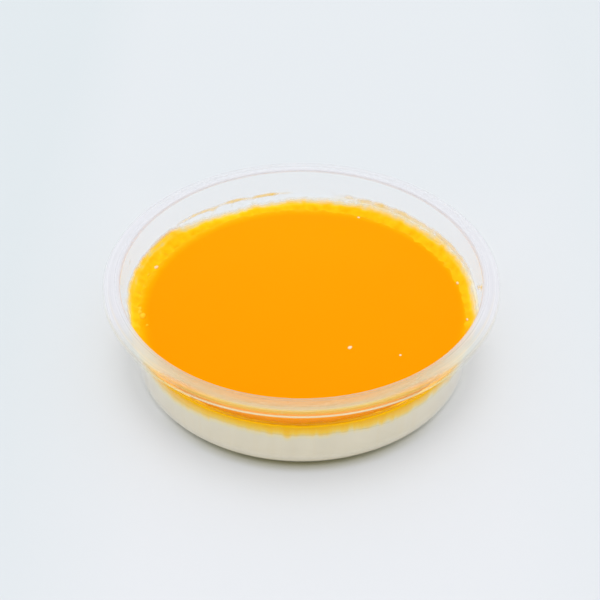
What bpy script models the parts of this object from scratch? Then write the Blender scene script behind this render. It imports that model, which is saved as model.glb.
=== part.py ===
"""A shallow round pot of clear plastic with panna cotta in it, under a poured layer of fruit topping.

Metres, +Z up. The pot stands on z = 0 and its axis is the Z axis. The pot is one thermoformed
sheet: its floor, base corner, body, stacking shoulder, upper wall, lip and skirt follow one line.
The two layers of food follow the same line, so a change of size carries through all three pieces.
"""

import math

import bmesh
import bpy
from mathutils import Matrix, Vector

MM = 0.001

# Driving dimensions of the pot
POT_RADIUS = 50.5 * MM  # outside of the skirt
POT_HEIGHT = 25.5 * MM
SHEET = 0.45 * MM  # thickness of the plastic
LIP_WIDTH = 4.6 * MM  # from the inner wall to the outside of the skirt
LIP_CREST = 2.0 * MM  # the lip is highest this far out from the inner wall
LIP_RISE = 0.1 * MM  # from the lip's inner edge up to its crest
LIP_FALL = 0.65 * MM  # from the crest down to the skirt
SKIRT_DROP = 2.05 * MM  # from the crest to the skirt's lower edge
WALL_DRAFT = 0.15 * MM  # the upper wall closes in this much on its way down
SHOULDER_TOP = 16.6 * MM
SHOULDER_FOOT = 14.2 * MM
SHOULDER_STEP = 2.05 * MM  # how far the shoulder narrows the pot
BODY_DRAFT = 0.4 * MM  # the body closes in this much towards the base
PANEL_RADIUS = 35.0 * MM  # the middle of the base is raised, so the pot stands on a ring
PANEL_RISE = 0.5 * MM
PANEL_RAMP = 1.2 * MM  # width of the slope round the raised middle

# Roundings of the line, on the side of the food
PANEL_ROUND = 0.8 * MM
BASE_ROUND = 2.5 * MM
SHOULDER_ROUND = 0.8 * MM
LIP_INNER_ROUND = 0.8 * MM
LIP_CREST_ROUND = 3.0 * MM
LIP_OUTER_ROUND = 1.1 * MM

# Driving dimensions of the food
GAP = 0.3 * MM  # clearance that touching pieces keep
SURFACE = 13.95 * MM  # height of the topping's flat surface
LAYER_LEVEL = 11.0 * MM  # mean height of the boundary between the layers
LAYER_TILT = 0.8 * MM  # the set cream lies this much lower at +X and higher at -X
LAYER_WAVES = ((3, 0.30 * MM, 0.8), (11, 0.25 * MM, 4.2))  # lobes, height, phase of its rise and fall
LAYER_RINGS = (0.45, 0.8)  # extra rings on the boundary, as shares of its radius

SEGMENTS = 72


def clear_scene():
    for obj in list(bpy.data.objects):
        bpy.data.objects.remove(obj, do_unlink=True)


def plastic_line():
    """Corners (radius, height, rounding) of the sheet's side that faces the food, the top and the outside."""
    wall = POT_RADIUS - LIP_WIDTH
    foot = wall - SHOULDER_STEP
    return [
        (0.0, SHEET + PANEL_RISE, 0.0),
        (PANEL_RADIUS, SHEET + PANEL_RISE, PANEL_ROUND),
        (PANEL_RADIUS + PANEL_RAMP, SHEET, PANEL_ROUND),
        (foot - BODY_DRAFT, SHEET, BASE_ROUND),
        (foot, SHOULDER_FOOT, SHOULDER_ROUND),
        (wall - WALL_DRAFT, SHOULDER_TOP, SHOULDER_ROUND),
        (wall, POT_HEIGHT - LIP_RISE, LIP_INNER_ROUND),
        (wall + LIP_CREST, POT_HEIGHT, LIP_CREST_ROUND),
        (POT_RADIUS, POT_HEIGHT - LIP_FALL, LIP_OUTER_ROUND),
        (POT_RADIUS, POT_HEIGHT - SKIRT_DROP, 0.0),
    ]


def meeting_point(p, u, q, v):
    """Where the line through p along u crosses the line through q along v."""
    cross = u.x * v.y - u.y * v.x
    gap = q - p
    return p + u * ((gap.x * v.y - gap.y * v.x) / cross)


def offset_line(corners, distance, arc_step):
    """The corners as points, moved to the right of the line's run, with concentric roundings."""
    places = [Vector((r, z)) for r, z, _ in corners]
    runs = [(b - a).normalized() for a, b in zip(places, places[1:])]
    sides = [Vector((run.y, -run.x)) * distance for run in runs]
    points = [places[0] + sides[0]]
    for i in range(1, len(corners) - 1):
        before, after = runs[i - 1], runs[i]
        corner = meeting_point(places[i] + sides[i - 1], before, places[i] + sides[i], after)
        turn = math.atan2(before.x * after.y - before.y * after.x, before.dot(after))
        radius = corners[i][2] + math.copysign(distance, turn)
        reach = radius * math.tan(abs(turn) / 2)
        normal = Vector((-before.y, before.x)) * math.copysign(radius, turn)
        centre = corner - before * reach + normal
        steps = max(1, math.ceil(abs(turn) / arc_step))
        for step in range(steps + 1):
            points.append(centre + Matrix.Rotation(turn * step / steps, 2) @ -normal)
    points.append(places[-1] + sides[-1])
    return points


def layer_height(x, y):
    """Height of the boundary between panna cotta and topping: level in the middle, uneven at the wall."""
    wall = POT_RADIUS - LIP_WIDTH - SHOULDER_STEP
    share = math.hypot(x, y) / wall
    angle = math.atan2(y, x)
    rise = sum(height * math.sin(lobes * angle + phase) for lobes, height, phase in LAYER_WAVES)
    return LAYER_LEVEL - LAYER_TILT * x / wall + rise * share**3


def food_line():
    """The line that the food's outside follows, a gap away from the plastic, from the middle of the floor up."""
    return offset_line(plastic_line(), -GAP, math.radians(25))


def crossing(line, height):
    """The point where a line first rises through a height."""
    for a, b in zip(line, line[1:]):
        if a.y < height <= b.y:
            return a.lerp(b, (height - a.y) / (b.y - a.y))
    raise ValueError(f"the line never reaches {height}")


def boundary_points(side_radius, height):
    """Points on the boundary between the layers, from the axis out to just before the side."""
    return [Vector((side_radius * share, height)) for share in (0.0, *LAYER_RINGS)]


def material(name, colour, roughness, alpha=1.0):
    made = bpy.data.materials.new(name)
    made.use_nodes = True
    shader = made.node_tree.nodes["Principled BSDF"]
    shader.inputs["Base Color"].default_value = (*colour, 1.0)
    shader.inputs["Roughness"].default_value = roughness
    shader.inputs["Metallic"].default_value = 0.0
    shader.inputs["Alpha"].default_value = alpha
    return made


def profile_mesh(name, points):
    mesh = bpy.data.meshes.new(name)
    edges = [(i, i + 1) for i in range(len(points) - 1)]
    mesh.from_pydata([(p.x, 0.0, p.y) for p in points], edges, [])
    return mesh


def add_object(name, mesh, finish):
    obj = bpy.data.objects.new(name, mesh)
    obj.data.materials.append(finish)
    bpy.context.scene.collection.objects.link(obj)
    return obj


def make_pot():
    """The sheet's inner line up and over to the skirt, then its outer line back down to the base."""
    inner = offset_line(plastic_line(), 0.0, math.radians(32))
    outer = offset_line(plastic_line(), SHEET, math.radians(32))
    pot = add_object(
        "pot",
        profile_mesh("pot", inner + outer[::-1]),
        material("clear_plastic", (0.92, 0.94, 0.95), 0.08, alpha=0.25),
    )
    screw = pot.modifiers.new("Turn", "SCREW")
    screw.axis = "Z"
    screw.steps = screw.render_steps = SEGMENTS
    screw.use_merge_vertices = True
    screw.merge_threshold = 0.00001
    return pot


def turned_layer(name, boundary, rest, finish):
    """A solid turned from a profile, with its boundary points moved to the uneven boundary between the layers."""
    bm = bmesh.new()
    uneven = bm.verts.layers.int.new("uneven")
    verts = []
    for i, point in enumerate(boundary + rest):
        vert = bm.verts.new((point.x, 0.0, point.y))
        vert[uneven] = i < len(boundary)
        verts.append(vert)
    edges = [bm.edges.new(pair) for pair in zip(verts, verts[1:])]
    bmesh.ops.spin(
        bm,
        geom=verts + edges,
        cent=(0, 0, 0),
        axis=(0, 0, 1),
        angle=math.tau,
        steps=SEGMENTS,
        use_merge=True,
    )
    bmesh.ops.remove_doubles(bm, verts=bm.verts, dist=0.00001)
    for vert in bm.verts:
        if vert[uneven]:
            vert.co.z += layer_height(vert.co.x, vert.co.y) - LAYER_LEVEL
    bmesh.ops.recalc_face_normals(bm, faces=bm.faces)
    mesh = bpy.data.meshes.new(name)
    bm.to_mesh(mesh)
    bm.free()
    return add_object(name, mesh, finish)


def make_panna_cotta():
    """The set cream: from the boundary with the topping down its side and in over the floor."""
    top = LAYER_LEVEL - GAP / 2
    line = food_line()
    edge = crossing(line, top)
    below = [p for p in line if p.y < top]
    finish = material("set_cream", (0.88, 0.85, 0.76), 0.35)
    return turned_layer("panna_cotta", [*boundary_points(edge.x, top), edge], below[::-1], finish)


def make_fruit_topping():
    """The topping: from the boundary with the cream up its side and in over its flat surface."""
    bottom = LAYER_LEVEL + GAP / 2
    line = food_line()
    edge = crossing(line, bottom)
    above = [p for p in line if bottom < p.y < SURFACE]
    rest = [*above, crossing(line, SURFACE), Vector((0.0, SURFACE))]
    finish = material("fruit_gel", (1.0, 0.37, 0.0), 0.25)
    return turned_layer("fruit_topping", [*boundary_points(edge.x, bottom), edge], rest, finish)


def shade_smooth(obj):
    obj.data.shade_smooth()
    obj.data.set_sharp_from_angle(angle=math.radians(40))


def main():
    clear_scene()
    make_pot()
    for layer in (make_panna_cotta(), make_fruit_topping()):
        shade_smooth(layer)


main()
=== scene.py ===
"""The looks of a panna cotta with fruit topping in its clear plastic pot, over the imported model.

Metres, +Z up, the pot's axis on Z, the camera on the side of -Y. The pot is rebuilt as a smooth
sheet along the CAD line, the two layers of food reach just into the plastic, and the film, smears
and bubbles that the pouring left behind lie on the inside of the plastic.
"""

import math
import random

import bmesh
import bpy
import numpy as np
from mathutils import Matrix, Vector, noise


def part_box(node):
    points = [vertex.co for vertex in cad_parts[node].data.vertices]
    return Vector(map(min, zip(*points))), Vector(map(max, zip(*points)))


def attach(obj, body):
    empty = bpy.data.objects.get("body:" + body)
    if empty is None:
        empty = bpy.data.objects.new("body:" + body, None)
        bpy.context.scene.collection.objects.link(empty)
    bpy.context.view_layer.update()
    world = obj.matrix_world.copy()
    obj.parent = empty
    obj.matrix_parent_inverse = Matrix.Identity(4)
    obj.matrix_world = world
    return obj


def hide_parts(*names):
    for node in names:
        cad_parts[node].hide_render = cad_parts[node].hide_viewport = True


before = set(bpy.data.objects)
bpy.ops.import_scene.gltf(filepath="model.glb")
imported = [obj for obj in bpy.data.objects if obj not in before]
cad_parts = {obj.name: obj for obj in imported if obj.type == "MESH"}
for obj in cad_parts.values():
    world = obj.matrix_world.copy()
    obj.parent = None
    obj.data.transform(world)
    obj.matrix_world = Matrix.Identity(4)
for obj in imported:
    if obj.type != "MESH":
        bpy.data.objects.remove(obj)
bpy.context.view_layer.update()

MM = 0.001

# The pot's line, as in the CAD: overall sizes come from the imported model, the rest repeats its
# sizes
POT_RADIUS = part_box("pot")[1].x
POT_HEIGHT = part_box("pot")[1].z
SHEET = 0.45 * MM
LIP_WIDTH = 4.6 * MM
LIP_CREST = 2.0 * MM
LIP_RISE = 0.1 * MM
LIP_FALL = 0.65 * MM
SKIRT_DROP = 2.05 * MM
WALL_DRAFT = 0.15 * MM
SHOULDER_TOP = 16.6 * MM
SHOULDER_FOOT = 14.2 * MM
SHOULDER_STEP = 2.05 * MM
BODY_DRAFT = 0.4 * MM
PANEL_RADIUS = 35.0 * MM
PANEL_RISE = 0.5 * MM
PANEL_RAMP = 1.2 * MM
PANEL_ROUND = 0.8 * MM
BASE_ROUND = 2.5 * MM
SHOULDER_ROUND = 0.8 * MM
LIP_INNER_ROUND = 0.8 * MM
LIP_CREST_ROUND = 3.0 * MM
LIP_OUTER_ROUND = 1.1 * MM
UPPER_WALL = POT_RADIUS - LIP_WIDTH  # inner radius under the lip
BODY_WALL = UPPER_WALL - SHOULDER_STEP  # inner radius at the shoulder's foot

# The food, as in the CAD
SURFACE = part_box("fruit_topping")[1].z
LAYER_LEVEL = 11.0 * MM
LAYER_TILT = 0.8 * MM
LAYER_WAVES = ((3, 0.30 * MM, 0.8), (11, 0.25 * MM, 4.2))

# How fine the meshes are
POT_SEGMENTS = 288
POT_STEP = 1.6 * MM
LIP_STEP = 0.3 * MM
FOOD_SEGMENTS = 512
FOOD_STEP = 0.6 * MM
FILM_SEGMENTS = 900
FILM_STEP = 0.11 * MM
SMEAR_SEGMENTS = 1000
SMEAR_STEP = 0.2 * MM


# ---------------------------------------------------------------- eased steps, all for arrays too


def smooth(value, low, high):
    """0 below low, 1 above high, an eased step between."""
    share = np.clip((value - low) / (high - low), 0, 1)
    return share * share * (3 - 2 * share)


def between(value, rise, fall):
    """An eased step up over the ends of rise, and one down over the ends of fall."""
    return smooth(value, *rise) * (1 - smooth(value, *fall))


def bump_at(value, middle, half_width):
    """1 at the middle, easing to 0 at the half width on each side."""
    return 1 - smooth(np.abs(value - middle), 0.0, half_width)


def around(azimuth, stops):
    """A value round the pot, eased between (degrees, value) stops that close on themselves."""
    places = [stops[-1][0] - 360, *(place for place, _ in stops), stops[0][0] + 360]
    values = [stops[-1][1], *(value for _, value in stops), stops[0][1]]
    degrees = (np.degrees(azimuth) - stops[0][0]) % 360 + stops[0][0]
    result = np.zeros_like(degrees)
    for low, high, a, b in zip(places, places[1:], values, values[1:]):
        here = (degrees >= low) & (degrees <= high)
        result[here] = a + (b - a) * smooth(degrees[here], low, high)
    return result


def ripple(azimuth, length, seed, height=0.0):
    """Smooth noise of about -1 to 1 along the wall, its features about this long."""
    radius = UPPER_WALL / length
    height = np.broadcast_to(height, np.shape(azimuth))
    values = [
        noise.noise((radius * math.cos(a), radius * math.sin(a), seed + h / length)) * 1.6
        for a, h in zip(np.ravel(azimuth), np.ravel(height))
    ]
    return np.array(values).reshape(np.shape(azimuth))


# ---------------------------------------------------------------- the pot's line


def plastic_line():
    """Corners (radius, height, rounding) of the sheet's side that faces the food, the top and
    the outside."""
    return [
        (0.0, SHEET + PANEL_RISE, 0.0),
        (PANEL_RADIUS, SHEET + PANEL_RISE, PANEL_ROUND),
        (PANEL_RADIUS + PANEL_RAMP, SHEET, PANEL_ROUND),
        (BODY_WALL - BODY_DRAFT, SHEET, BASE_ROUND),
        (BODY_WALL, SHOULDER_FOOT, SHOULDER_ROUND),
        (UPPER_WALL - WALL_DRAFT, SHOULDER_TOP, SHOULDER_ROUND),
        (UPPER_WALL, POT_HEIGHT - LIP_RISE, LIP_INNER_ROUND),
        (UPPER_WALL + LIP_CREST, POT_HEIGHT, LIP_CREST_ROUND),
        (POT_RADIUS, POT_HEIGHT - LIP_FALL, LIP_OUTER_ROUND),
        (POT_RADIUS, POT_HEIGHT - SKIRT_DROP, 0.0),
    ]


def meeting_point(p, u, q, v):
    """Where the line through p along u crosses the line through q along v."""
    gap = q - p
    return p + u * ((gap.x * v.y - gap.y * v.x) / (u.x * v.y - u.y * v.x))


def offset_line(corners, distance, arc_step):
    """The corners as points, moved to the right of the line's run, with concentric roundings."""
    places = [Vector((r, z)) for r, z, _ in corners]
    runs = [(b - a).normalized() for a, b in zip(places, places[1:])]
    sides = [Vector((run.y, -run.x)) * distance for run in runs]
    points = [places[0] + sides[0]]
    for i in range(1, len(corners) - 1):
        before, after = runs[i - 1], runs[i]
        corner = meeting_point(places[i] + sides[i - 1], before, places[i] + sides[i], after)
        turn = math.atan2(before.x * after.y - before.y * after.x, before.dot(after))
        radius = corners[i][2] + math.copysign(distance, turn)
        reach = radius * math.tan(abs(turn) / 2)
        normal = Vector((-before.y, before.x)) * math.copysign(radius, turn)
        centre = corner - before * reach + normal
        steps = max(1, math.ceil(abs(turn) / arc_step))
        for step in range(steps + 1):
            points.append(centre + Matrix.Rotation(turn * step / steps, 2) @ -normal)
    points.append(places[-1] + sides[-1])
    return points


def resampled(line, step):
    """The line with extra points, so that none lie further apart than step."""
    points = [line[0]]
    for a, b in zip(line, line[1:]):
        parts = max(1, math.ceil((b - a).length / step))
        points += [a.lerp(b, i / parts) for i in range(1, parts + 1)]
    return points


def crossing(line, height):
    """The point where a line first rises through a height."""
    for a, b in zip(line, line[1:]):
        if a.y < height <= b.y:
            return a.lerp(b, (height - a.y) / (b.y - a.y))
    raise ValueError(f"the line never reaches {height}")


def stretch_of(line, low, high):
    """The part of a line between two heights, where it first rises through them."""
    inside = []
    for p in line:
        if p.y >= high:
            break
        if p.y > low:
            inside.append(p)
    return [crossing(line, low), *inside, crossing(line, high)]


# ---------------------------------------------------------------- meshes


def mesh_object(name, verts, faces, material):
    mesh = bpy.data.meshes.new(name)
    mesh.from_pydata([tuple(v) for v in verts], [], faces)
    mesh.validate()
    mesh.shade_smooth()
    obj = bpy.data.objects.new(name, mesh)
    bpy.context.scene.collection.objects.link(obj)
    obj.data.materials.append(material)
    return obj


def points_of(obj):
    return np.array([v.co for v in obj.data.vertices])


def store(obj, name, values):
    """Keeps one value for each point, which the material reads by this name."""
    layer = obj.data.attributes.new(name, "FLOAT", "POINT")
    layer.data.foreach_set("value", np.asarray(values, np.float32))


def angles(segments):
    return np.arange(segments) * (math.tau / segments)


def ring(radius, height, segments):
    """One ring of points. Radius and height are numbers or one value for each point."""
    turn = angles(segments)
    radius = np.broadcast_to(radius, segments)
    height = np.broadcast_to(height, segments)
    return np.stack([radius * np.cos(turn), radius * np.sin(turn), height], axis=1)


def turned(name, rings, material, poles):
    """A closed surface through rings of equally many points, which the two poles, heights on the
    axis, close at its ends."""
    segments = len(rings[0])
    verts = [point for each in rings for point in each]
    count = len(rings)
    faces = []
    for i in range(count - 1):
        a, b = i * segments, (i + 1) * segments
        for j in range(segments):
            k = (j + 1) % segments
            faces.append((a + j, a + k, b + k, b + j))
    for pole, start, flip in ((poles[0], 0, False), (poles[1], (count - 1) * segments, True)):
        verts.append((0.0, 0.0, pole))
        tip = len(verts) - 1
        for j in range(segments):
            k = (j + 1) % segments
            corners = (tip, start + k, start + j)
            faces.append(corners[::-1] if flip else corners)
    return mesh_object(name, verts, faces, material)


# ---------------------------------------------------------------- materials


class Nodes:
    """A short way to write a material's node tree."""

    def __init__(self, name):
        self.material = bpy.data.materials.new(name)
        self.material.use_nodes = True
        self.tree = self.material.node_tree
        self.shader = self.tree.nodes["Principled BSDF"]
        self.output = self.tree.nodes["Material Output"]

    def add(self, kind, **settings):
        node = self.tree.nodes.new(kind)
        for key, value in settings.items():
            if hasattr(node, key):
                setattr(node, key, value)
            else:
                self.put(node.inputs[key], value)
        return node

    def put(self, socket, value):
        if isinstance(value, bpy.types.NodeSocket):
            self.tree.links.new(value, socket)
        else:
            socket.default_value = value

    def set(self, **values):
        for key, value in values.items():
            self.put(self.shader.inputs[key.replace("_", " ")], value)

    def position(self, scale=(1, 1, 1)):
        where = self.add("ShaderNodeTexCoord").outputs["Object"]
        mapping = self.add("ShaderNodeMapping")
        self.put(mapping.inputs["Vector"], where)
        self.put(mapping.inputs["Scale"], scale)
        return mapping.outputs["Vector"]

    def axes(self):
        """The place on the surface as three numbers, X, Y and Z."""
        node = self.add("ShaderNodeSeparateXYZ")
        self.put(node.inputs[0], self.position())
        return node.outputs

    def noise(self, vector, scale, detail=2.0, roughness=0.5):
        node = self.add("ShaderNodeTexNoise")
        self.put(node.inputs["Vector"], vector)
        self.put(node.inputs["Scale"], scale)
        self.put(node.inputs["Detail"], detail)
        self.put(node.inputs["Roughness"], roughness)
        return node.outputs["Fac"]

    def ramp(self, factor, stops):
        node = self.add("ShaderNodeValToRGB")
        for _ in stops[2:]:
            node.color_ramp.elements.new(0.5)
        for element, (place, colour) in zip(node.color_ramp.elements, stops):
            element.position = place
            element.color = (*colour, 1.0)
        self.put(node.inputs["Fac"], factor)
        return node.outputs["Color"]

    def maths(self, operation, a, b, clamp=False):
        node = self.add("ShaderNodeMath", operation=operation, use_clamp=clamp)
        self.put(node.inputs[0], a)
        self.put(node.inputs[1], b)
        return node.outputs[0]

    def span(self, value, low, high, to_low=0.0, to_high=1.0, kind="LINEAR"):
        node = self.add("ShaderNodeMapRange", interpolation_type=kind)
        for socket, number in zip(node.inputs, (value, low, high, to_low, to_high)):
            self.put(socket, number)
        return node.outputs[0]

    def swing(self, value, reach):
        """The middle of a noise's range, spread from -reach to reach."""
        return self.span(value, 0.3, 0.7, -reach, reach)

    def mix(self, factor, a, b):
        node = self.add("ShaderNodeMix", data_type="RGBA")
        self.put(node.inputs["Factor"], factor)
        self.put(node.inputs[6], a if not isinstance(a, tuple) else (*a, 1.0))
        self.put(node.inputs[7], b if not isinstance(b, tuple) else (*b, 1.0))
        return node.outputs[2]

    def attribute(self, name):
        return self.add("ShaderNodeAttribute", attribute_name=name).outputs["Fac"]

    def bump(self, height, strength, distance):
        node = self.add("ShaderNodeBump")
        self.put(node.inputs["Height"], height)
        self.put(node.inputs["Strength"], strength)
        self.put(node.inputs["Distance"], distance)
        self.set(Normal=node.outputs["Normal"])

    def let_light_through(self, share):
        """Lamps and bounced light pass straight through the surface, dimmed to this share."""
        clear = self.add("ShaderNodeBsdfTransparent")
        clear.inputs["Color"].default_value = (share, share, share, 1)
        path = self.add("ShaderNodeLightPath")
        surface = self.shader.outputs["BSDF"]
        for ray in ("Is Shadow Ray", "Is Diffuse Ray"):
            mixed = self.add("ShaderNodeMixShader")
            self.put(mixed.inputs[0], path.outputs[ray])
            self.put(mixed.inputs[1], surface)
            self.put(mixed.inputs[2], clear.outputs["BSDF"])
            surface = mixed.outputs["Shader"]
        self.put(self.output.inputs["Surface"], surface)


# ---------------------------------------------------------------- the pot

HEAD_ON_MIRROR = 0.012  # what one surface of the plastic shows straight on of the pale room
MIRROR_POWER = 4.0  # how late that grows to a full mirror, as the surface slants
MIRROR_TINT = (0.95, 0.95, 0.96)
PLASTIC_PASSES = 0.97  # the share of the lamps' light that one surface passes
WALL_WHITE = (0.85, 0.86, 0.88)
LIP_WHITE = (0.645, 0.625, 0.665)  # light that the lip scatters
LIP_PAINTED_GLOW = (0.47, 0.495, 0.32)  # the same, painted with the gel's light in front of the gel
LIP_PAINTED_AMBER = (0.54, 0.60, 0.12)  # and the film's amber light, painted where its outer rounding gathers it
LIP_PAINTED_STREAK = (0.74, 0.59, 0.37)  # painted fine amber light lines along the lip on both sides of the front
CUT_EDGE_PAINTED_LIGHT = (0.76, 0.82, 0.52)  # painted light that the skirt's cut edge gathers
GROOVES = 2.6  # how many fine rings the lip's milkiness has in a mm, about
GROOVE_SHARES = (0.7, 1.25)

# How milky the lip's top is, by distance in mm outside its inner edge. Its peaks at the inner
# edge and on the outer rounding are painted light lines, the rest is the lip's own milkiness
LIP_HAZE = (
    (-0.5, 0.0),
    (-0.2, 0.62),
    (0.35, 0.58),
    (0.8, 0.25),
    (1.4, 0.23),
    (2.2, 0.29),
    (3.1, 0.43),
    (3.7, 0.58),
    (4.1, 0.36),
    (4.6, 0.36),
)
BACK_HAZE = 0.5  # the share of it at the back

# What is added to that by azimuth, and how much of it by distance
LIP_MILK = (
    (-165, 0.35),
    (-150, 0.60),
    (-140, 0.52),
    (-130, 0.30),
    (-120, 0.12),
    (-105, 0.0),
    (-75, 0.0),
    (-60, 0.15),
    (-50, 0.32),
    (-40, 0.52),
    (-30, 0.60),
    (-15, 0.35),
    (90, 0.15),
)
MILK_REACH = ((-0.5, 0.0), (-0.1, 1.0), (3.6, 1.0), (4.2, 0.4))

# Where the lip takes on colours, painted light of the gel and film. Front is 1 straight at the
# camera, 0 at the sides and -1 at the back; out is the distance in mm outside the lip's inner edge
GLOW_FRONT = (0.3, 0.95)
AMBER_FRONT = (0.66, 0.88)
AMBER_STRAIGHT_AHEAD = (0.9, 1.0)
AMBER_STARTS = 3.2
AMBER_STARTS_LATER = 0.4  # by this much straight ahead
AMBER_FULL = 4.0
STREAK_FRONT = ((0.1, 0.4), (0.7, 0.85))
STREAK_LINES = ((4.4, 0.4, 1.0), (2.9, 0.35, 0.4))  # out, half width and strength
PAINTED_STREAK_SHARE = 0.3
RIM_PAINTED_AMBER_SHARE = 0.26  # painted amber light on the lip's outer rounding in front
CLEARER = 0.75  # by how much the outer part of the lip is clearer on both sides of the front
CLEARER_FRONT = (0.82, 0.16)
CLEARER_OUT = ((2.6, 3.2), (4.0, 4.3))
CUT_EDGE_PAINTED_SHARE = 0.6
CUT_EDGE_FRONT = (0.55, 1.0)
WALL_VEIL = 0.015
BASE_GLEAM = 0.14  # a faint light line where the base's rounding starts
GLEAM_HEIGHT = (2.9 * MM, 0.5 * MM)
BASE_VEIL = 0.20
BASE_VEIL_TOP = (0.9 * MM, 1.8 * MM)

# How much the plastic mirrors, by height in mm: less on the shoulder and the free wall. The
# lip's outermost part mirrors less too, by distance in mm
WALL_GLOSS = ((12.5, 1.5), (13.5, 0.0), (16.8, 0.0), (18.0, 0.10), (24.0, 0.10), (24.8, 0.5))
RIM_GLOSS_LOSS = 0.7
RIM_GLOSS_OUT = (3.6, 4.2)


def clear_plastic():
    """Clear thin sheet. Light goes straight through, less what its surfaces mirror at a slant
    and what the lip's milkiness scatters. Painted light rides on that milkiness: light lines on
    the lip's edges, the skirt's cut edge and the base, and the gel's and film's light on the lip
    in front."""
    n = Nodes("clear_plastic")
    rings = n.add("ShaderNodeCombineXYZ")
    n.put(rings.inputs[0], n.attribute("radius"))
    grooves = n.noise(rings.outputs[0], GROOVES, detail=3.0, roughness=0.6)
    grooves = n.span(grooves, 0.35, 0.65, *GROOVE_SHARES)
    haze_and_painted_light = n.maths("MULTIPLY", n.attribute("haze_and_painted_light"), grooves, clamp=True)
    slant = n.add("ShaderNodeLayerWeight", Blend=0.5).outputs["Facing"]
    seen = n.span(n.maths("POWER", slant, MIRROR_POWER), 0.0, 1.0, HEAD_ON_MIRROR, 1.0)
    mirror = n.maths("MULTIPLY", n.attribute("gloss"), seen)
    both = n.maths("ADD", haze_and_painted_light, mirror)
    there = n.maths("SUBTRACT", both, n.maths("MULTIPLY", haze_and_painted_light, mirror), clamp=True)
    mirror_part = n.maths("DIVIDE", mirror, n.maths("MAXIMUM", both, 0.0001))
    glowing = n.mix(n.attribute("amber"), LIP_PAINTED_GLOW, LIP_PAINTED_AMBER)
    milky = n.mix(n.attribute("painted_glow"), LIP_WHITE, glowing)
    milky = n.mix(n.attribute("streak"), milky, LIP_PAINTED_STREAK)
    milky = n.mix(n.attribute("cut_edge"), milky, CUT_EDGE_PAINTED_LIGHT)
    scattered = n.mix(n.attribute("lip"), WALL_WHITE, milky)
    n.set(
        Base_Color=n.mix(mirror_part, scattered, MIRROR_TINT),
        Metallic=mirror_part,
        Roughness=0.06,
        Alpha=there,
    )
    n.bump(n.noise(n.position((1, 1, 0.6)), 90.0, detail=2.0), 0.03, 0.0004)
    n.let_light_through(PLASTIC_PASSES)
    return n.material


def lip_share(radius, height):
    """0 to 1 where the sheet is part of the lip's top."""
    on_top = smooth(height, POT_HEIGHT - 1.1 * MM, POT_HEIGHT - 0.6 * MM)
    return on_top * smooth(radius, UPPER_WALL - 0.6 * MM, UPPER_WALL - 0.35 * MM)


def store_looks(pot):
    """What clear_plastic reads: where the sheet is milky or carries painted light lines, where it
    mirrors, and its colours, with the gel's light painted on the lip in front.
    """
    points = points_of(pot)
    height = points[:, 2]
    radii = np.hypot(points[:, 0], points[:, 1])
    turn = np.arctan2(points[:, 1], points[:, 0])
    front = -points[:, 1] / np.maximum(radii, MM)
    out = (radii - UPPER_WALL) / MM

    lip = lip_share(radii, height)
    painted_glow = smooth(front, *GLOW_FRONT)
    ringed = np.interp(out, *zip(*LIP_HAZE)) * (BACK_HAZE + (1 - BACK_HAZE) * painted_glow)
    ringed *= 1 - CLEARER * bump_at(front, *CLEARER_FRONT) * between(out, *CLEARER_OUT)
    milk = around(turn, LIP_MILK) * np.interp(out, *zip(*MILK_REACH))
    milkiness = ringed + milk - ringed * milk

    gleam = BASE_GLEAM * bump_at(height, *GLEAM_HEIGHT)
    foot = BASE_VEIL * (1 - smooth(height, *BASE_VEIL_TOP)) * (radii > PANEL_RADIUS + 2 * MM)
    veil = WALL_VEIL * smooth(height, SHOULDER_TOP, SHOULDER_TOP + MM)

    starts = AMBER_STARTS + AMBER_STARTS_LATER * smooth(front, *AMBER_STRAIGHT_AHEAD)
    amber = smooth(out, starts, AMBER_FULL) * smooth(front, *AMBER_FRONT)
    rim = amber * smooth(height, POT_HEIGHT - 1.5 * MM, POT_HEIGHT - 1.0 * MM)
    lines = [share * bump_at(out, middle, half) for middle, half, share in STREAK_LINES]
    streak = between(front, *STREAK_FRONT) * np.maximum.reduce(lines)
    haze_and_painted_light = [milkiness * lip, gleam, foot, veil, RIM_PAINTED_AMBER_SHARE * rim, PAINTED_STREAK_SHARE * streak]
    at_edge = height < POT_HEIGHT - SKIRT_DROP + 0.05 * MM
    cut_edge = at_edge & (radii > POT_RADIUS - 0.6 * MM)
    edge_painted_light = CUT_EDGE_PAINTED_SHARE * smooth(front, *CUT_EDGE_FRONT)
    gloss = np.interp(height / MM, *zip(*WALL_GLOSS))

    store(pot, "radius", radii / MM)
    store(pot, "gloss", gloss * (1 - RIM_GLOSS_LOSS * smooth(out, *RIM_GLOSS_OUT)))
    store(pot, "lip", np.maximum.reduce([lip, cut_edge, rim, streak]))
    store(pot, "painted_glow", painted_glow)
    store(pot, "amber", amber)
    store(pot, "streak", streak)
    store(pot, "cut_edge", cut_edge)
    store(pot, "haze_and_painted_light", np.where(cut_edge, edge_painted_light, np.maximum.reduce(haze_and_painted_light)))


def make_pot():
    lines = []
    for distance in (SHEET, 0.0):
        line = resampled(offset_line(plastic_line(), distance, math.radians(9)), POT_STEP)
        lip = [p for p in line if p.y > POT_HEIGHT - 3 * MM]
        lines.append(line[: len(line) - len(lip)] + resampled(lip, LIP_STEP))
    outer, inner = lines
    line = (outer + inner[::-1])[1:-1]
    rings = [ring(p.x, p.y, POT_SEGMENTS) for p in line]
    pot = turned("pot_sheet", rings, clear_plastic(), (outer[0].y, inner[0].y))
    store_looks(pot)
    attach(pot, "root")
    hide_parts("pot")


# ---------------------------------------------------------------- the food

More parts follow.
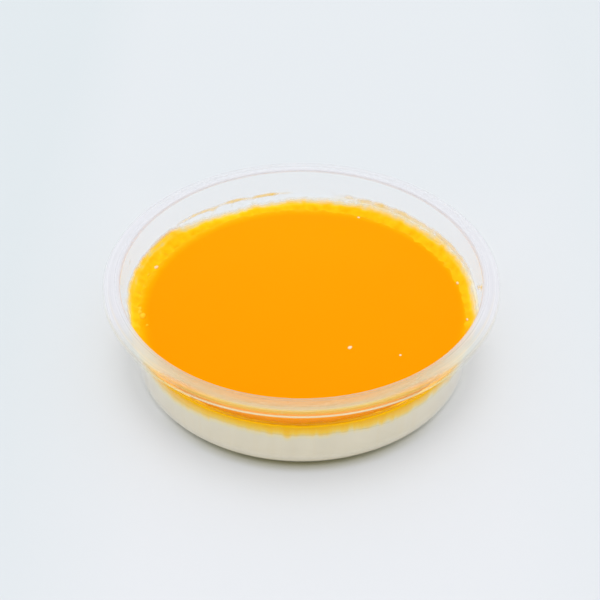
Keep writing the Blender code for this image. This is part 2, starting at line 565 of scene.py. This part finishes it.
INTO_WALL = 0.36 * MM  # the food reaches this far into the plastic, so that no air shows
UNDER = 0.05 * MM  # and the topping this far into the cream
CREAM_FLOOR = 4.0 * MM  # up to here the cream follows the base's rounding
CREAM_SHARES = (0.985, 0.94, 0.8, 0.5, 0.2)  # of its radius: the rings of its top
FRUIT_SHARES = (0.2, 0.5, 0.8, 0.94)  # the same of the topping's underside
FRUIT_INSETS = (0.3, 0.6, 0.95, 1.5, 2.2, 3.2, 4.5, 8.0, 25.0)  # and of its top, mm from the wall

CREAM = (0.82, 0.735, 0.56)
CREAM_DARKER = 0.965
CREAM_STREAK = (0.80, 0.69, 0.48)
# The topping's run-down on the cream's side, by height above the boundary in mm
STAIN_HEIGHTS = (-0.2, 2.7)
STAIN = (
    (0.0, (0.85, 0.725, 0.42)),
    (0.25, (0.94, 0.657, 0.186)),
    (0.5, (0.98, 0.61, 0.055)),
    (0.75, (1.0, 0.56, 0.030)),
    (1.0, (1.0, 0.515, 0.018)),
)
STAIN_STARTS = (-1.2, -0.1)  # where it sets in over the cream, in mm above the boundary
DEEP_STARTS = (2.2, 3.4)  # and where the deep colour takes over
STAIN_TILT = 0.8  # mm by which it reaches lower at the left, and higher at the right
STAIN_SAG = 0.5  # mm by which it also reaches lower up to the first of these, in metres
STAIN_SAG_ENDS = (0.006, 0.016)
STAIN_TEETH = 0.6  # mm by which its edge wanders broadly
STAIN_STREAKS = 0.25  # and finely

ORANGE = (0.83, 0.264, 0.0)
ORANGE_BACK = (0.84, 0.303, 0.0)
FRONT_TO_BACK = (-0.04, 0.04)  # metres along Y over which the one turns into the other
# The gel's own orange on its side, painted lighter and yellower against the shade under the
# shoulder
SIDE_ORANGE_PAINTED_LIGHTER = (1.0, 0.52, 0.008)
EDGE_SHADE = (0.64, 0.195, 0.0)  # where the front wall shades the gel

# The gel's surface as it thins out towards the wall, by the thinness where each tone sets in
# and is full
RIM_TONES = (
    ((0.0, 0.4), (0.92, 0.36, 0.0005)),
    ((0.4, 0.8), (0.95, 0.43, 0.007)),
    ((0.8, 1.1), (0.96, 0.50, 0.016)),
)

# How much the gel's surface turns yellow towards the wall, by azimuth (0 right, 90 back). Below
# 0 it is painted darker for the front wall's shade
GEL_THINNING_AND_SHADE = (
    (-125, -0.4),
    (-90, -0.5),
    (-55, -0.4),
    (-30, 0.2),
    (0, 0.7),
    (60, 0.85),
    (100, 0.95),
    (150, 0.95),
    (185, 0.95),
    (210, 0.5),
)

# How far in from the wall it does so, in mm
GEL_REACH = ((-90, 3.0), (0, 2.7), (60, 3.6), (90, 4.6), (150, 4.9), (190, 4.4), (215, 3.2))


def wall_colours(n, deep):
    """Colour up the food's side: cream, then a streaky golden run-down, then the deep colour."""
    above = n.attribute("above_boundary")
    teeth = n.noise(n.position((1, 1, 0.10)), 330.0, detail=2.0)
    streaks = n.noise(n.position((1, 1, 0.08)), 1100.0, detail=2.0, roughness=0.6)
    shift = n.maths("ADD", n.swing(teeth, STAIN_TEETH), n.swing(streaks, STAIN_STREAKS))
    across = n.axes()[0]
    tilt = n.span(across, -BODY_WALL, BODY_WALL, STAIN_TILT, -STAIN_TILT)
    sag = n.span(across, *STAIN_SAG_ENDS, STAIN_SAG, 0.0)
    height = n.maths("ADD", n.maths("ADD", above, shift), n.maths("ADD", tilt, sag))
    mottle = n.noise(n.position((1, 1, 0.4)), 160.0, detail=3.0)
    cream = n.mix(n.span(mottle, 0.35, 0.65), CREAM, tuple(CREAM_DARKER * c for c in CREAM))
    upright = n.noise(n.position((1, 1, 0.03)), 800.0, detail=1.0)
    cream = n.mix(n.span(upright, 0.5, 0.75, 0.0, 0.35), cream, CREAM_STREAK)
    stain = n.ramp(n.span(height, *STAIN_HEIGHTS), STAIN)
    stained = n.mix(n.span(height, *STAIN_STARTS), cream, stain)
    return n.mix(n.span(height, *DEEP_STARTS), stained, deep)


def cream_finish():
    """Set cream, stained golden in soft upright streaks where the topping ran down its side."""
    n = Nodes("set_cream")
    golden = STAIN[-1][1]
    n.set(Base_Color=wall_colours(n, golden), Roughness=0.42, Specular_IOR_Level=0.2)
    return n.material


def fruit_finish():
    """Smooth opaque fruit gel, deep orange, more yellow where it thins out at the wall, with
    painted shade where the front wall shades it and its side painted lighter.
    """
    n = Nodes("fruit_gel")
    drift = n.noise(n.position(), 28.0, detail=2.0)
    depth = n.maths("ADD", n.span(n.axes()[1], *FRONT_TO_BACK), n.swing(drift, 0.08))
    body = n.mix(depth, ORANGE, ORANGE_BACK)
    rim = n.noise(n.position(), 420.0, detail=3.0)
    thin = n.maths("MULTIPLY", n.attribute("thinning_and_painted_shade"), n.span(rim, 0.3, 0.7, 0.75, 1.25))
    top = n.mix(n.span(n.attribute("thinning_and_painted_shade"), -0.3, 0.0), EDGE_SHADE, body)
    for thinning_and_painted_shade, colour in RIM_TONES:
        top = n.mix(n.span(thin, *thinning_and_painted_shade), top, colour)
    n.set(
        Base_Color=n.mix(n.attribute("side"), top, wall_colours(n, SIDE_ORANGE_PAINTED_LIGHTER)),
        Roughness=0.22,
        Specular_IOR_Level=0.015,
        Specular_Tint=(1.0, 0.5, 0.0, 1),
    )
    n.bump(n.noise(n.position(), 240.0, detail=2.0), 0.05, 0.0003)
    return n.material


def layer_height(x, y):
    """Height of the boundary between panna cotta and topping, as in the CAD."""
    share = math.hypot(x, y) / BODY_WALL
    angle = math.atan2(y, x)
    rise = sum(height * math.sin(lobes * angle + phase) for lobes, height, phase in LAYER_WAVES)
    return LAYER_LEVEL - LAYER_TILT * x / BODY_WALL + rise * share**3


def boundary(radius):
    """Heights of the boundary round one ring."""
    turns = angles(FOOD_SEGMENTS)
    return np.array([layer_height(radius * math.cos(a), radius * math.sin(a)) for a in turns])


def height_over_boundary(points):
    """In mm, for each point."""
    at_wall = np.array([layer_height(x, y) for x, y, _ in points])
    return (points[:, 2] - at_wall) / MM


def gel_thinning_and_shade(inset, turn):
    """0 where the gel is deep, up to 1 where it thins out at the wall, and below 0 where the front
    wall's shade is painted on it. The inset is in mm.
    """
    reach = around(turn, GEL_REACH)
    return around(turn, GEL_THINNING_AND_SHADE) * (1 - smooth(inset / reach, 0.08, 1.0))


def food_line():
    return resampled(offset_line(plastic_line(), INTO_WALL, math.radians(12)), FOOD_STEP)


def side_rings(line, low, high, rows):
    """Rings up the food's side, from height low to high, which may differ round the pot."""
    heights = [p.y for p in line if p.y <= POT_HEIGHT - SKIRT_DROP]
    radii = [p.x for p in line][: len(heights)]
    low = np.broadcast_to(low, FOOD_SEGMENTS)
    high = np.broadcast_to(high, FOOD_SEGMENTS)
    rings = []
    for row in range(rows + 1):
        z = low + (high - low) * row / rows
        rings.append(ring(np.interp(z, heights, radii), z, FOOD_SEGMENTS))
    return rings


def boundary_rings(shares, drop=0.0):
    """Rings that follow the boundary at these shares of its radius, lowered by drop."""
    radii = [BODY_WALL * share for share in shares]
    return [ring(radius, boundary(radius) - drop, FOOD_SEGMENTS) for radius in radii]


def make_cream():
    line = food_line()
    floor = [p for p in line if p.y < CREAM_FLOOR and p.x > 0]
    rings = [ring(p.x, p.y, FOOD_SEGMENTS) for p in floor]
    rings += side_rings(line, CREAM_FLOOR, boundary(BODY_WALL), 24)
    rings += boundary_rings(CREAM_SHARES)
    cream = turned("cream_layer", rings, cream_finish(), (line[0].y, LAYER_LEVEL))
    store(cream, "above_boundary", height_over_boundary(points_of(cream)))
    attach(cream, "root")
    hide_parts("panna_cotta")


def make_fruit():
    rings = boundary_rings(FRUIT_SHARES, UNDER)
    rings += side_rings(food_line(), boundary(BODY_WALL) - UNDER, SURFACE, 14)
    side_points = len(rings) * FOOD_SEGMENTS
    for inset in FRUIT_INSETS:
        rings.append(ring(BODY_WALL - inset * MM, SURFACE, FOOD_SEGMENTS))
    fruit = turned("fruit_layer", rings, fruit_finish(), (LAYER_LEVEL - UNDER, SURFACE))
    points = points_of(fruit)
    inset = (BODY_WALL - np.hypot(points[:, 0], points[:, 1])) / MM
    turn = np.arctan2(points[:, 1], points[:, 0])
    store(fruit, "above_boundary", height_over_boundary(points))
    store(fruit, "side", np.arange(len(points)) < side_points)
    store(fruit, "thinning_and_painted_shade", gel_thinning_and_shade(inset, turn))
    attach(fruit, "root")
    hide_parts("fruit_topping")


# ---------------------------------------------------------------- what the pouring left behind

# The film on the upright plastic, from its bright edge down to the deep gel
FILM_COLOURS = (
    (0.80, 0.62, 0.15),
    (0.95, 0.61, 0.035),
    (1.0, 0.53, 0.006),
    (0.95, 0.42, 0.001),
    (0.78, 0.25, 0.0),
)
FILM_HEIGHTS = (13.7 * MM, 18.4 * MM)  # the stretch of wall on which it may lie
FILM_THICKNESS = 0.10 * MM

# How high the gel's film reaches on the shoulder and wall, in mm, by azimuth
FILM_EDGE = (
    (-170, 15.0),
    (-150, 17.0),
    (-30, 16.9),
    (0, 15.5),
    (28, 16.3),
    (60, 16.1),
    (90, 15.4),
    (118, 14.9),
    (131, 15.4),
    (144, 17.1),
    (158, 17.0),
    (172, 16.4),
)

# The distance over which the film gives out, in mm, by azimuth
FILM_FADE = ((-90, 1.2), (0, 2.2), (60, 2.4), (110, 1.7), (150, 2.2), (180, 1.8))

# How much of the deep orange the film keeps above its foot, by azimuth
FILM_DEPTH = (
    (-150, 0.45),
    (-90, 0.9),
    (-35, 0.45),
    (-5, 0.22),
    (90, 0.2),
    (150, 0.12),
    (185, 0.2),
)

# How much of it the foot has: less where the gel thins out, and less where the front wall shades
# it, so that the foot is painted lighter against that shade
FOOT_DEPTH = 0.80
FOOT_LESS_THIN = 0.12
FOOT_PAINTED_LIGHTER_IN_SHADE = 0.35

# How far the fillet at the film's foot swells, by azimuth, out of FILLET, over this height
FILLET_SWELL = ((-150, 0.4), (-90, 0.3), (-30, 0.4), (5, 0.95), (60, 1.0), (185, 1.0))
FILLET = 1.2 * MM
FILLET_HEIGHT = 0.25 * MM

# The smears above it, and the stretch of wall on which they may lie
PALE = (0.86, 0.84, 0.58)
PALE_YELLOW = (0.93, 0.80, 0.22)
SMEAR_HEIGHTS = (14.6 * MM, 24.2 * MM)
SMEAR_THICKNESS = 0.05 * MM

# Where they are, in degrees round the pot and mm above the table. Two numbers are a middle and a
# half width; two pairs are the stretches over which a smear sets in and gives out
SPLASH_ENDS = ((90, 102), (130, 146))
SPLASH_LEVEL = 17.5
CRUMB_LEVEL = (16.2, 1.2)
MOTTLE_ENDS = ((4, 18), (66, 84))
MOTTLE_LEVEL = (17.1, 1.9)
BAND_ENDS = ((-40, -24), (10, 30))
BAND_LEVEL = (16.1, 1.6)
BAND_STRENGTH = 0.6
BLOT = (169.5, 2.4)
BLOT_LEVEL = (21.2, 1.5)
BLOT_STRENGTH = 0.3
DROP = (-5.2, 2.2)
DROP_LEVEL = (22.8, 1.8)
TAIL = -5.0
TAIL_LEAN = 1.5  # degrees for each mm below the drop
TAIL_HALF = 2.2
TAIL_LEVELS = ((17.4, 18.4), (22.0, 23.6))
TAIL_STRENGTH = 0.55

# Crumbs and bubbles: azimuth in degrees, radius, rise over the gel's surface and half size in
# mm, stretch along the wall
MILK_SPECKS = (
    (-54.5, 20.85, 0.0, 0.50, 1.3),
    (-38.9, 31.45, 0.0, 0.28, 1.2),
    (158.8, 42.2, 0.1, 0.54, 1.3),
    (11.5, 42.5, 0.1, 0.34, 1.8),
    (-8.7, 43.0, 0.2, 0.29, 1.5),
    (3.0, 43.1, 0.2, 0.16, 2.0),
    (66.8, 41.8, 0.0, 0.30, 1.4),
    (77.4, 42.9, 0.15, 0.18, 1.2),
)
GEL_BUBBLES = (
    (-177.2, 42.1, 0.0, 0.62, 1.3),
    (-173.3, 41.2, 0.0, 0.85, 1.3),
    (-175.4, 42.0, 0.0, 0.60, 1.3),
    (-167.8, 40.3, 0.0, 0.34, 1.2),
    (176.1, 42.6, 0.1, 0.40, 1.6),
    (170.5, 42.6, 0.1, 0.34, 2.4),
    (164.0, 42.8, 0.2, 0.30, 2.2),
)
MILK_COLOURS = ((0.86, 0.58, 0.30), (0.88, 0.70, 0.50))
FROTH_COLOURS = ((0.96, 0.46, 0.004), (0.95, 0.52, 0.025))
SPECK_FLATNESS = 0.4  # a speck's height as a share of its width

# The fine line of bubbles along the gel's edge, partly a painted highlight along that edge
FINE_LINE_ENDS = (10.0, 72)
FINE_LINE_DENSE = 30  # up to here it is unbroken
FINE_LINE_RADIUS = 42.7  # mm


def film_finish(name, colours, opening):
    """A smear on the plastic, its colour from the first to the last by tone, see-through where
    its cover gives out."""
    n = Nodes(name)
    patches = n.noise(n.position(), 420.0, detail=2.0)
    amount = n.maths("ADD", n.attribute("cover"), n.swing(patches, 0.07))
    tone = n.maths("ADD", n.attribute("tone"), n.swing(patches, 0.12))
    facing = n.maths("SUBTRACT", 1.0, n.add("ShaderNodeNewGeometry").outputs["Backfacing"])
    stops = [(i / (len(colours) - 1), colour) for i, colour in enumerate(colours)]
    n.set(
        Base_Color=n.ramp(tone, stops),
        Roughness=0.3,
        Specular_IOR_Level=0.06,
        Specular_Tint=(1.0, 0.6, 0.1, 1),
        Alpha=n.maths("MULTIPLY", n.span(amount, *opening, kind="SMOOTHSTEP"), facing),
    )
    n.let_light_through(1.0)
    return n.material


def speck_finish(name, colour, paler):
    """A tiny bubble or crumb, its colour drifting a little over it."""
    n = Nodes(name)
    drift = n.noise(n.position(), 900.0, detail=2.0)
    n.set(
        Base_Color=n.mix(n.span(drift, 0.35, 0.65), colour, paler),
        Roughness=0.5,
        Specular_IOR_Level=0.06,
    )
    return n.material


def wall_skin(name, material, heights, step, segments, cover, tone, thickness):
    """A thin closed skin on the inside of the plastic between two heights, kept only where
    cover(azimuth, height) is above 0. Its tone and thickness are functions of the same."""
    wall = offset_line(plastic_line(), 0.0, math.radians(9))
    line = resampled(stretch_of(wall, *heights), step)
    path = np.array([(p.x, p.y) for p in line])
    run = np.gradient(path, axis=0)
    run /= np.linalg.norm(run, axis=1)[:, None]
    inward = np.stack([-run[:, 1], run[:, 0]], axis=1)
    turn = np.radians(360.0 * np.arange(segments) / segments)
    turn, height = np.meshgrid(turn, path[:, 1])
    amount = np.clip(cover(turn, height), 0, 1)
    tones = np.clip(tone(turn, height), 0, 1)
    sheets = []
    for depth in (np.full_like(amount, -0.12 * MM), 0.03 * MM + thickness(turn, height) * amount):
        radius = path[:, 0][:, None] + inward[:, 0][:, None] * depth
        level = path[:, 1][:, None] + inward[:, 1][:, None] * depth
        sheet = np.stack([radius * np.cos(turn), radius * np.sin(turn), level], axis=2)
        sheets.append(sheet.reshape(-1, 3))

    rows, columns = amount.shape
    count = rows * columns
    following = np.roll(amount, -1, axis=1)
    corners = [amount[:-1], amount[1:], following[:-1], following[1:]]
    cells = np.maximum.reduce(corners) > 0.02

    def at(i, j):
        return i * columns + j % columns

    faces = []
    for i, j in zip(*np.nonzero(cells)):
        a, b, c, d = at(i, j), at(i, j + 1), at(i + 1, j + 1), at(i + 1, j)
        faces.append((a, b, c, d))
        faces.append((d + count, c + count, b + count, a + count))
        if not cells[i, j - 1]:
            faces.append((a, d, d + count, a + count))
        if not cells[i, (j + 1) % columns]:
            faces.append((c, b, b + count, c + count))
        if i == 0 or not cells[i - 1, j]:
            faces.append((b, a, a + count, b + count))
        if i == rows - 2 or not cells[i + 1, j]:
            faces.append((d, c, c + count, d + count))
    used = np.unique(np.array([corner for face in faces for corner in face]))
    place = np.full(2 * count, -1)
    place[used] = np.arange(len(used))
    faces = [tuple(int(place[corner]) for corner in face) for face in faces]
    obj = mesh_object(name, np.concatenate(sheets)[used], faces, material)
    store(obj, "cover", np.tile(amount.ravel(), 2)[used])
    store(obj, "tone", np.tile(tones.ravel(), 2)[used])
    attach(obj, "root")
    return obj


def make_film():
    """The gel that stayed on the shoulder, over the topping's edge, with the fillet at its foot."""

    def edge(turn):
        wander = 0.2 * MM * ripple(turn, 4.5 * MM, 3.1) + 0.14 * MM * ripple(turn, 1.6 * MM, 8.7)
        return around(turn, FILM_EDGE) * MM + wander

    def cover(turn, height):
        return 0.5 + (edge(turn) - height) / (around(turn, FILM_FADE) * MM)

    def tone(turn, height):
        """1 for deep orange, 0 for the brightest yellow. It starts from the gel's colour."""
        thinning = np.clip(around(turn, GEL_THINNING_AND_SHADE), 0, 1)
        shaded = np.clip(-2 * around(turn, GEL_THINNING_AND_SHADE), 0, 1)
        foot = FOOT_DEPTH - FOOT_LESS_THIN * thinning - FOOT_PAINTED_LIGHTER_IN_SHADE * shaded
        top = edge(turn)
        # the foot's tone gives way up to the edge, and sooner where it is shaded
        rise_ends = top + (SURFACE + 0.9 * MM - top) * shaded
        up = smooth(height, SURFACE - 0.2 * MM, rise_ends)
        thick = foot * (1 - up) + around(turn, FILM_DEPTH) * up
        thick *= 1 - thinning * smooth(height, top - 0.5 * MM, top + 0.6 * MM)
        # a pale streak along the middle, broken here and there
        middle = SURFACE + 0.55 * (top - SURFACE) + 0.4 * MM * ripple(turn, 9 * MM, 12.0)
        broken = np.clip(0.6 + ripple(turn, 5 * MM, 9.0), 0, 1)
        pale = 0.28 * thinning * bump_at(height, middle, 0.6 * MM) * broken
        fine = ripple(turn, 1.1 * MM, 5.0, 0.45 * height) + ripple(turn, 3.4 * MM, 7.0, height)
        return thick - pale + (0.07 + 0.03 * up) * (1 - 0.65 * shaded) * 0.5 * fine

    def thickness(turn, height):
        swell = around(turn, FILLET_SWELL) * (1 + 0.35 * ripple(turn[0], 2.2 * MM, 27.0))
        return FILM_THICKNESS + FILLET * swell * np.exp((SURFACE - height) / FILLET_HEIGHT)

    finish = film_finish("gel_film", FILM_COLOURS, (0.0, 1.0))
    shape = (FILM_HEIGHTS, FILM_STEP, FILM_SEGMENTS, cover, tone, thickness)
    film = wall_skin("shoulder_film", finish, *shape)


def make_smears():
    """Thin pale smears above the film: a splash line at the back left, mottling at the right,
    a few drips."""

    def cover(turn, height):
        degrees = (np.degrees(turn) + 180) % 360 - 180
        up = height / MM
        wander = ripple(turn, 2.4 * MM, 14.0, height)
        fine = ripple(turn, 1.1 * MM, 21.0, height * 0.5)
        # the splash line, with beads hanging from it
        level = SPLASH_LEVEL + 0.18 * ripple(turn, 9 * MM, 2.0)
        splashed = between(degrees, *SPLASH_ENDS)
        beads = np.clip(ripple(turn, 2.6 * MM, 31.0), 0, 1)
        broken = np.clip(0.62 + 0.25 * wander, 0, 1)
        line = splashed * broken * bump_at(up, level - 0.3 * beads, 1.0 + 0.5 * beads)
        # pale mottling on the right, and the cream band outside the yellow there
        broken = np.clip(0.62 + 0.22 * wander + 0.05 * fine, 0, 1)
        mottle = between(degrees, *MOTTLE_ENDS) * bump_at(up, *MOTTLE_LEVEL) * broken
        band = between(degrees, *BAND_ENDS) * bump_at(up, *BAND_LEVEL) * BAND_STRENGTH
        # thin remains between the splash line and the film
        broken = np.clip(0.10 + 0.12 * fine + 0.12 * wander, 0, 1)
        crumbs = splashed * bump_at(up, *CRUMB_LEVEL) * broken
        # a blot at the left, and a drop at the right with its tail down to the film
        blot = bump_at(degrees, *BLOT) * bump_at(up, *BLOT_LEVEL) * BLOT_STRENGTH
        drop = bump_at(degrees, *DROP) * bump_at(up, *DROP_LEVEL)
        tail = bump_at(degrees, TAIL + (DROP_LEVEL[0] - up) * TAIL_LEAN, TAIL_HALF)
        tail *= between(up, *TAIL_LEVELS) * TAIL_STRENGTH
        return np.maximum.reduce([line, mottle, band, crumbs, blot, drop, tail])

    def tone(turn, height):
        """0 for pale, 1 for pale yellow: the back left, the drop and the mottling are yellow."""
        degrees = (np.degrees(turn) + 180) % 360 - 180
        at_drop = bump_at(degrees, -2.0, 8.0) * smooth(height, 18.0 * MM, 19.5 * MM) * 2
        yellow = [smooth(degrees, 88, 96) * 0.7, at_drop, smooth(degrees, 10, 34) * 0.7]
        return np.maximum.reduce(yellow) + 0.12 * ripple(turn, 1.6 * MM, 40.0, height)

    def thickness(turn, height):
        return SMEAR_THICKNESS

    finish = film_finish("pale_smear", (PALE, PALE_YELLOW), (0.05, 1.0))
    shape = (SMEAR_HEIGHTS, SMEAR_STEP, SMEAR_SEGMENTS, cover, tone, thickness)
    smears = wall_skin("wall_smears", finish, *shape)


def speck_cluster(name, material, specks, seed):
    """Low irregular lumps on the gel, partly sunk in it or in the foot of the film, as one mesh."""
    draw = random.Random(seed)
    shape = bmesh.new()
    for azimuth, radius, rise, half, stretch in specks:
        turn = math.radians(azimuth)
        shift = Vector(draw.uniform(0, 50) for _ in range(3))
        ball = bmesh.ops.create_icosphere(shape, subdivisions=2, radius=1.0)["verts"]
        at_wall = Vector((radius * math.cos(turn), radius * math.sin(turn), rise)) * MM
        place = Matrix.Translation(at_wall + Vector((0, 0, SURFACE)))
        place @= Matrix.Rotation(turn + draw.uniform(-0.3, 0.3), 4, "Z")
        size = Vector((1, stretch, SPECK_FLATNESS)) * (half * MM)
        for vert in ball:
            lumps = 1 + 0.22 * noise.noise(vert.co * 1.4 + shift)
            vert.co = place @ (vert.co * size * lumps)
    mesh = bpy.data.meshes.new(name)
    shape.to_mesh(mesh)
    shape.free()
    mesh.shade_smooth()
    obj = bpy.data.objects.new(name, mesh)
    bpy.context.scene.collection.objects.link(obj)
    mesh.materials.append(material)
    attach(obj, "root")
    return obj


def fine_line():
    """The fine pale line of tiny bubbles along the gel's edge at the right, thinning towards
    the back. Its paleness is partly a painted highlight along that edge."""
    draw = random.Random(5)
    beads = []
    azimuth, end = FINE_LINE_ENDS
    while azimuth < end:
        dense = azimuth < FINE_LINE_DENSE
        broad = noise.noise((azimuth * 0.35, 3.7, 0.0))
        narrow = noise.noise((azimuth * 1.3, 8.1, 0.0))
        inward = 0.012 * max(0, azimuth - FINE_LINE_DENSE)
        radius = FINE_LINE_RADIUS + 0.28 * broad + 0.12 * narrow - inward
        size = draw.uniform(0.05, 0.10) * (1.3 if dense else 1.0)
        if dense or draw.random() < 0.45:
            beads.append((azimuth, radius, 0.05, size, draw.uniform(1.6, 3.2)))
        azimuth += draw.uniform(0.25, 0.6)
    return beads


def make_specks():
    finish = speck_finish("milk_speck", *MILK_COLOURS)
    milk = speck_cluster("milk_specks", finish, MILK_SPECKS, 3)
    finish = speck_finish("gel_froth", *FROTH_COLOURS)
    bubbles = speck_cluster("gel_bubbles", finish, [*GEL_BUBBLES, *fine_line()], 11)


# ---------------------------------------------------------------- the stage

TABLE = (0.655, 0.658, 0.678)
TABLE_PAINTED_SHADE = (0.598, 0.628, 0.645)  # the same with painted shade, away from the light
# Where that sets in and is full, in metres along X or Y, and from how much to how much
DIM_LEFT = (-0.035, -0.085, 0.0, 1.0)
DIM_RIGHT = (0.045, 0.100, 0.0, 0.7)
DIM_BACK = (0.020, 0.080, 0.0, 0.5)
CONTACT_SHADE = (0.31, 0.288, 0.14)  # the shade at the pot's foot, in front of it
SIDE_CONTACT_PAINTED_LIGHT = (0.80, 0.81, 0.82)  # and a painted lighter tone beside and behind it
BESIDE = (-0.0445, -0.026)  # metres along Y over which the one turns into the other
CONTACT_REACH = 4.0 * MM
CONTACT_OPENNESS = (0.29, 0.80)
FLOOR_HALF = 3.0

DOME = (0.89, 0.925, 0.95)
HORIZON = (0.70, 0.73, 0.75)
HORIZON_HEIGHT = 0.4  # the sine of the elevation where the dome is at its full brightness
BACKDROP = (0.83, 0.85, 0.88)

SOFTBOX_PLACE = (0.0, 0.42, 2.97)
SOFTBOX_SIZE = 4.4
SOFTBOX_POWER = 55.0
SOFTBOX_COLOUR = (1.0, 0.99, 0.98)

# The camera, from the photo's view: 30 degrees wide, 40 degrees above the table
FIELD_OF_VIEW = math.radians(30)
CAMERA_ELEVATION = math.radians(39.94)
CAMERA_DISTANCE = 291.4 * MM
CAMERA_AIM = Vector((-0.36 * MM, 0, 15.2 * MM))


def floor_finish():
    """A pale table with painted shade: darker away from the light, a painted shadow at the foot of
    what stands on it in front, and a painted lighter tone beside and behind it.
    """
    n = Nodes("pale_floor")
    nearby = n.add("ShaderNodeAmbientOcclusion", samples=12)
    n.put(nearby.inputs["Distance"], CONTACT_REACH)
    x, y, _ = n.axes()
    painted_contact_tone = n.mix(n.span(y, *BESIDE), CONTACT_SHADE, SIDE_CONTACT_PAINTED_LIGHT)
    sides = n.maths("MAXIMUM", n.span(x, *DIM_LEFT), n.span(x, *DIM_RIGHT))
    dim = n.maths("MAXIMUM", sides, n.span(y, *DIM_BACK))
    table = n.mix(dim, TABLE, TABLE_PAINTED_SHADE)
    n.set(
        Base_Color=n.mix(n.span(nearby.outputs["AO"], *CONTACT_OPENNESS), painted_contact_tone, table),
        Roughness=0.75,
        Specular_IOR_Level=0.2,
    )
    return n.material


def make_floor():
    size = FLOOR_HALF
    corners = [(-size, -size, 0), (size, -size, 0), (size, size, 0), (-size, size, 0)]
    floor = mesh_object("floor", corners, [(0, 1, 2, 3)], floor_finish())


def make_light():
    data = bpy.data.lights.new("overhead_softbox", "AREA")
    data.shape = "DISK"
    data.size = SOFTBOX_SIZE
    data.energy = SOFTBOX_POWER
    data.color = SOFTBOX_COLOUR
    lamp = bpy.data.objects.new("overhead_softbox", data)
    lamp.location = SOFTBOX_PLACE
    lamp.rotation_euler = (-Vector(SOFTBOX_PLACE)).to_track_quat("-Z", "Y").to_euler()
    bpy.context.scene.collection.objects.link(lamp)


def make_world():
    """A soft pale dome, dimmer towards the horizon, where the table's surroundings are. The
    camera sees it as one pale backdrop."""
    world = bpy.data.worlds.new("studio")
    world.use_nodes = True
    nodes, links = world.node_tree.nodes, world.node_tree.links
    axes = nodes.new("ShaderNodeSeparateXYZ")
    links.new(nodes.new("ShaderNodeTexCoord").outputs["Generated"], axes.inputs[0])
    rise = nodes.new("ShaderNodeMapRange")
    rise.interpolation_type = "SMOOTHSTEP"
    rise.inputs["From Max"].default_value = HORIZON_HEIGHT
    links.new(axes.outputs[2], rise.inputs["Value"])
    dome, seen = nodes.new("ShaderNodeMix"), nodes.new("ShaderNodeMix")
    for mix, factor in (
        (dome, rise.outputs[0]),
        (seen, nodes.new("ShaderNodeLightPath").outputs["Is Camera Ray"]),
    ):
        mix.data_type = "RGBA"
        links.new(factor, mix.inputs["Factor"])
    dome.inputs[6].default_value = (*HORIZON, 1)
    dome.inputs[7].default_value = (*DOME, 1)
    links.new(dome.outputs[2], seen.inputs[6])
    seen.inputs[7].default_value = (*BACKDROP, 1)
    links.new(seen.outputs[2], nodes["Background"].inputs["Color"])
    bpy.context.scene.world = world


def make_camera():
    data = bpy.data.cameras.new("camera")
    data.sensor_width = 36.0
    data.angle = FIELD_OF_VIEW
    data.clip_start = 0.01
    camera = bpy.data.objects.new("camera", data)
    back = Vector((0, -math.cos(CAMERA_ELEVATION), math.sin(CAMERA_ELEVATION)))
    camera.location = CAMERA_AIM + back * CAMERA_DISTANCE
    camera.rotation_euler = back.to_track_quat("Z", "Y").to_euler()
    bpy.context.scene.collection.objects.link(camera)
    bpy.context.scene.camera = camera


make_pot()
make_cream()
make_fruit()
make_film()
make_smears()
make_specks()
make_floor()
make_world()
make_camera()
make_light()
bpy.context.scene.view_settings.view_transform = "Standard"
bpy.context.scene.cycles.max_bounces = 32
bpy.context.scene.cycles.transmission_bounces = 32
bpy.context.scene.cycles.glossy_bounces = 12
bpy.context.scene.cycles.transparent_max_bounces = 24
